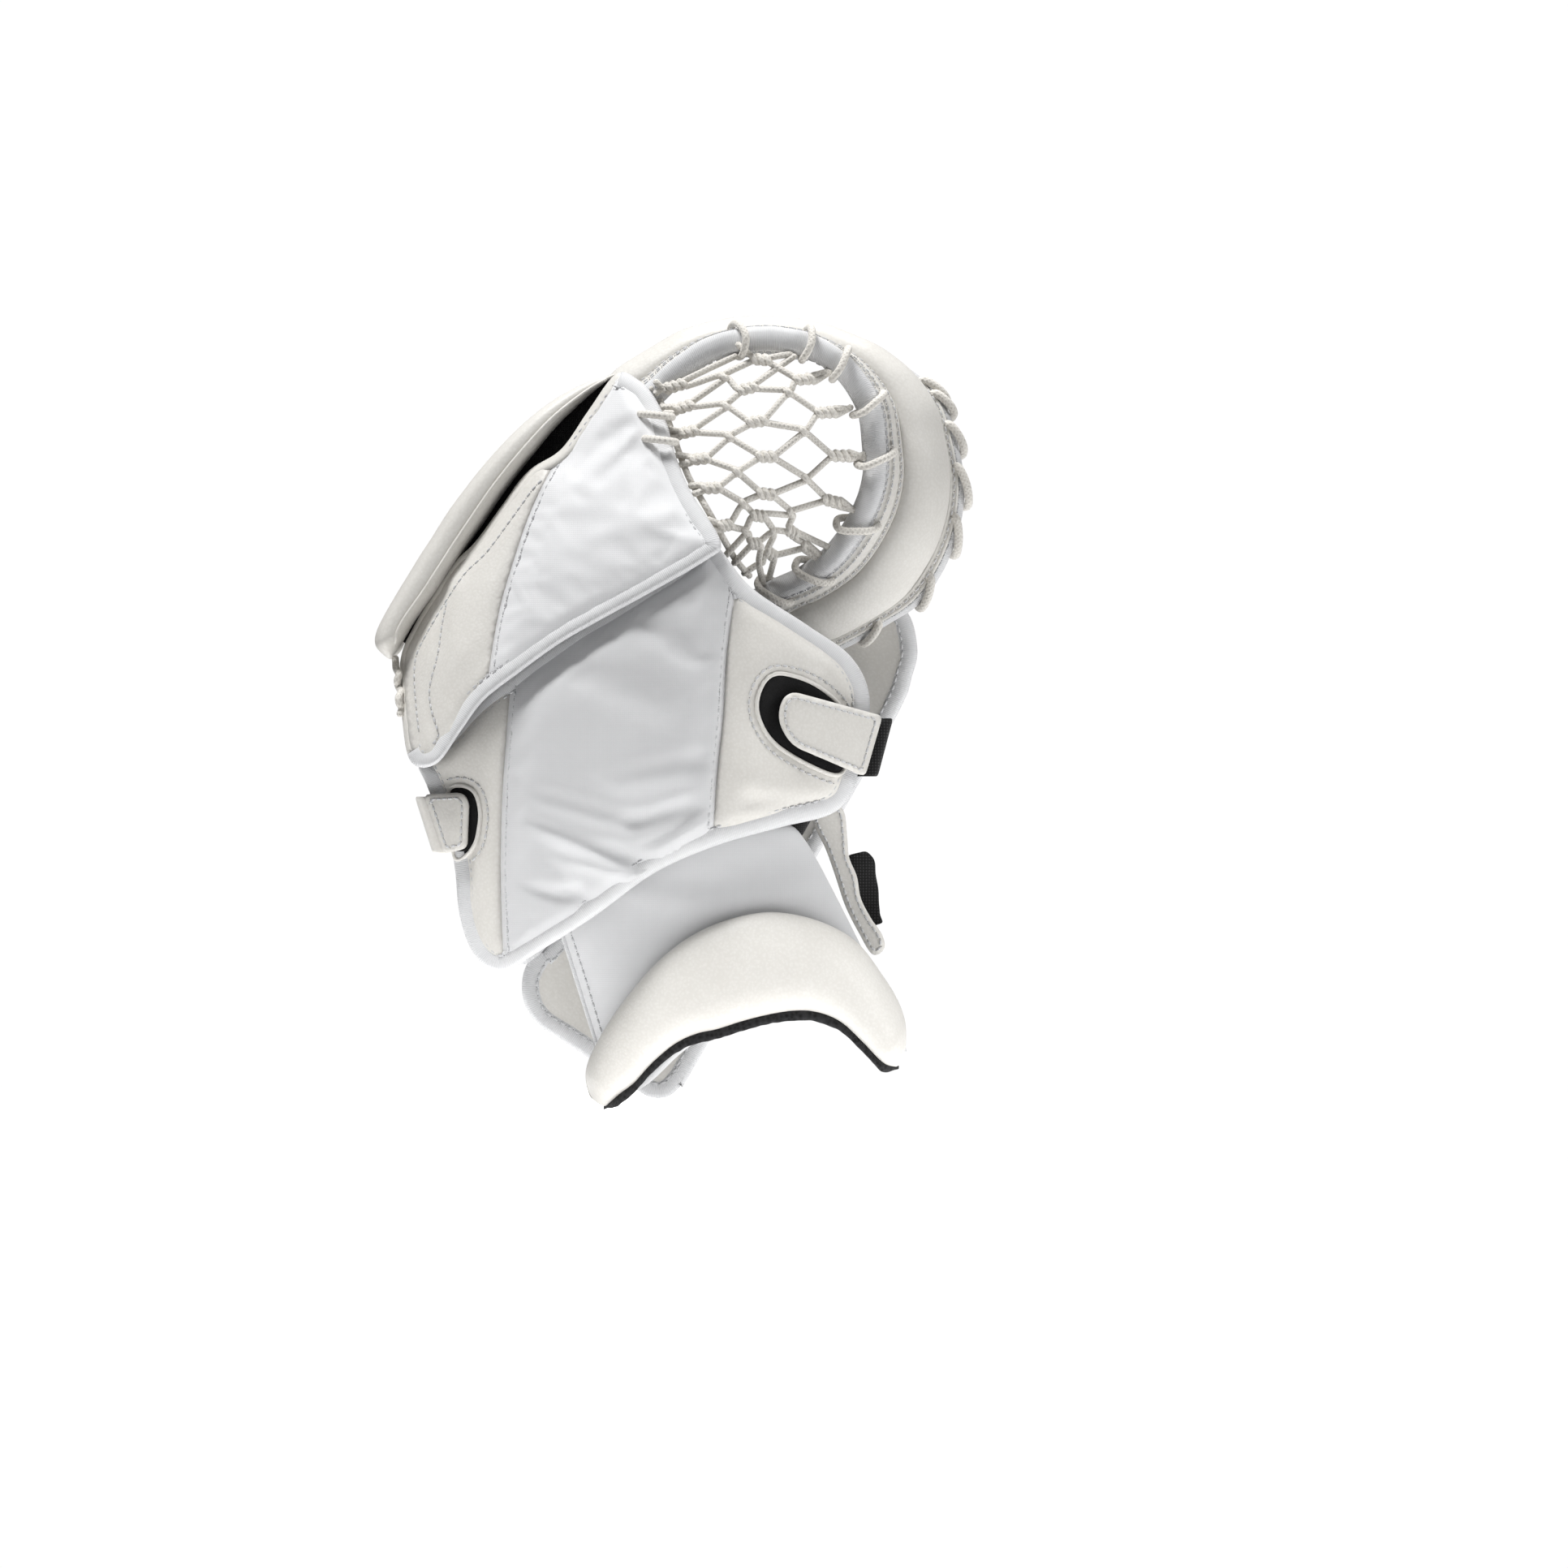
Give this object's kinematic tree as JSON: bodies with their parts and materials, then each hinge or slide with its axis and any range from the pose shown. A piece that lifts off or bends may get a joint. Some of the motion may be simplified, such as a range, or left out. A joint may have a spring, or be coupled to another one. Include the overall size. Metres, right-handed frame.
{
  "type": "goalie catch glove",
  "caption": "Ice hockey goalie catch glove for the left hand: padded back-of-hand and finger pads, laced pocket rim with a knotted net, wrist sleeve with an arched roll, and closing straps.",
  "frame": {"origin": "middle of the wrist opening", "axes": "+Z from the wrist towards the fingertips, +Y the way the palm faces, +X towards the thumb"},
  "size_m": [0.3102, 0.1399, 0.4048],
  "materials": {
    "leather_white": "pebbled white leather, light sheen",
    "leather_palm": "smooth white palm leather",
    "nylon_white": "woven white nylon",
    "binding_white": "folded nylon edge tape with lockstitch",
    "lace_cream": "braided lace",
    "fabric_black": "black gusset and webbing",
    "mesh_black": "black knitted spacer mesh",
    "hook_loop_black": "black hook-and-loop",
    "foam_grey": "closed-cell foam",
    "board_plastic": "stiff sheet core"
  },
  "bodies": {
    "root": {"hand_side_leather": "leather_white", "hand_nylon": "nylon_white", "hand_thumb_leather": "leather_white", "side_loop_patch": "hook_loop_black", "thumb_loop_patch": "hook_loop_black", "hand_foam": "foam_grey", "hand_lining": "mesh_black", "hand_binding": "binding_white", "palm_board": "board_plastic", "palm_leather": "leather_palm", "palm_lining": "mesh_black", "palm_side_wall": "leather_white", "inner_back": "mesh_black", "board_inner_leather": "leather_white", "board_core": "board_plastic", "board_face_leather": "leather_white", "board_binding": "binding_white", "thumb_stall": "mesh_black", "thumb_rim_cover": "leather_white", "thumb_rim_core": "board_plastic", "thumb_rim_net_tape": "binding_white", "thumb_rim_outer_tape": "binding_white", "thumb_rim_lace": "lace_cream", "pocket_net": "lace_cream", "thumb_strap": "fabric_black", "side_strap": "fabric_black"},
    "fingers": {"finger_leather": "leather_white", "finger_nylon": "nylon_white", "finger_foam": "foam_grey", "finger_lining": "mesh_black", "finger_binding": "binding_white", "edge_cover": "leather_white", "edge_foam": "foam_grey", "edge_tie_lace": "lace_cream", "finger_board": "board_plastic", "finger_palm_leather": "leather_palm", "finger_gusset": "fabric_black", "index_wall": "leather_white", "finger_stalls": "mesh_black", "finger_rim_cover": "leather_white", "finger_rim_core": "board_plastic", "finger_rim_net_tape": "binding_white", "finger_rim_outer_tape": "binding_white", "finger_rim_lace": "lace_cream"},
    "wrist_guard": {"sleeve_nylon": "nylon_white", "sleeve_foam": "foam_grey", "sleeve_lining": "mesh_black", "roll_mesh_lining": "mesh_black", "roll_foam": "foam_grey", "roll_leather": "leather_white"},
    "thumb_strap_tab": {"thumb_tab": "leather_white", "thumb_tab_hook": "hook_loop_black"},
    "side_strap_tab": {"side_tab": "leather_white", "side_tab_hook": "hook_loop_black"},
    "wrist_strap_tab": {"wrist_tab": "leather_white", "wrist_webbing": "fabric_black"}
  },
  "joints": [
    {"name": "pocket_close", "type": "hinge", "parent": "root", "child": "fingers", "pos_m": [-0.175, -0.015, 0.15], "axis": [-0.816, 0, -0.578], "range_deg": [0, 30]},
    {"name": "wrist_flex", "type": "hinge", "parent": "root", "child": "wrist_guard", "pos_m": [-0.038, -0.045, 0.1], "axis": [1, 0, 0], "range_deg": [-4, 12]},
    {"name": "thumb_tab_peel", "type": "hinge", "parent": "root", "child": "thumb_strap_tab", "pos_m": [0.061, -0.046, 0.155], "axis": [0.2, 0, 0.9798], "range_deg": [0, 120]},
    {"name": "side_tab_peel", "type": "hinge", "parent": "root", "child": "side_strap_tab", "pos_m": [-0.16, -0.046, 0.115], "axis": [0.2, 0, -0.9798], "range_deg": [0, 120]},
    {"name": "wrist_tab_swing", "type": "hinge", "parent": "root", "child": "wrist_strap_tab", "pos_m": [0.048, -0.022, 0.08], "axis": [0.4592, 0, -0.8884], "range_deg": [0, 60]}
  ]
}
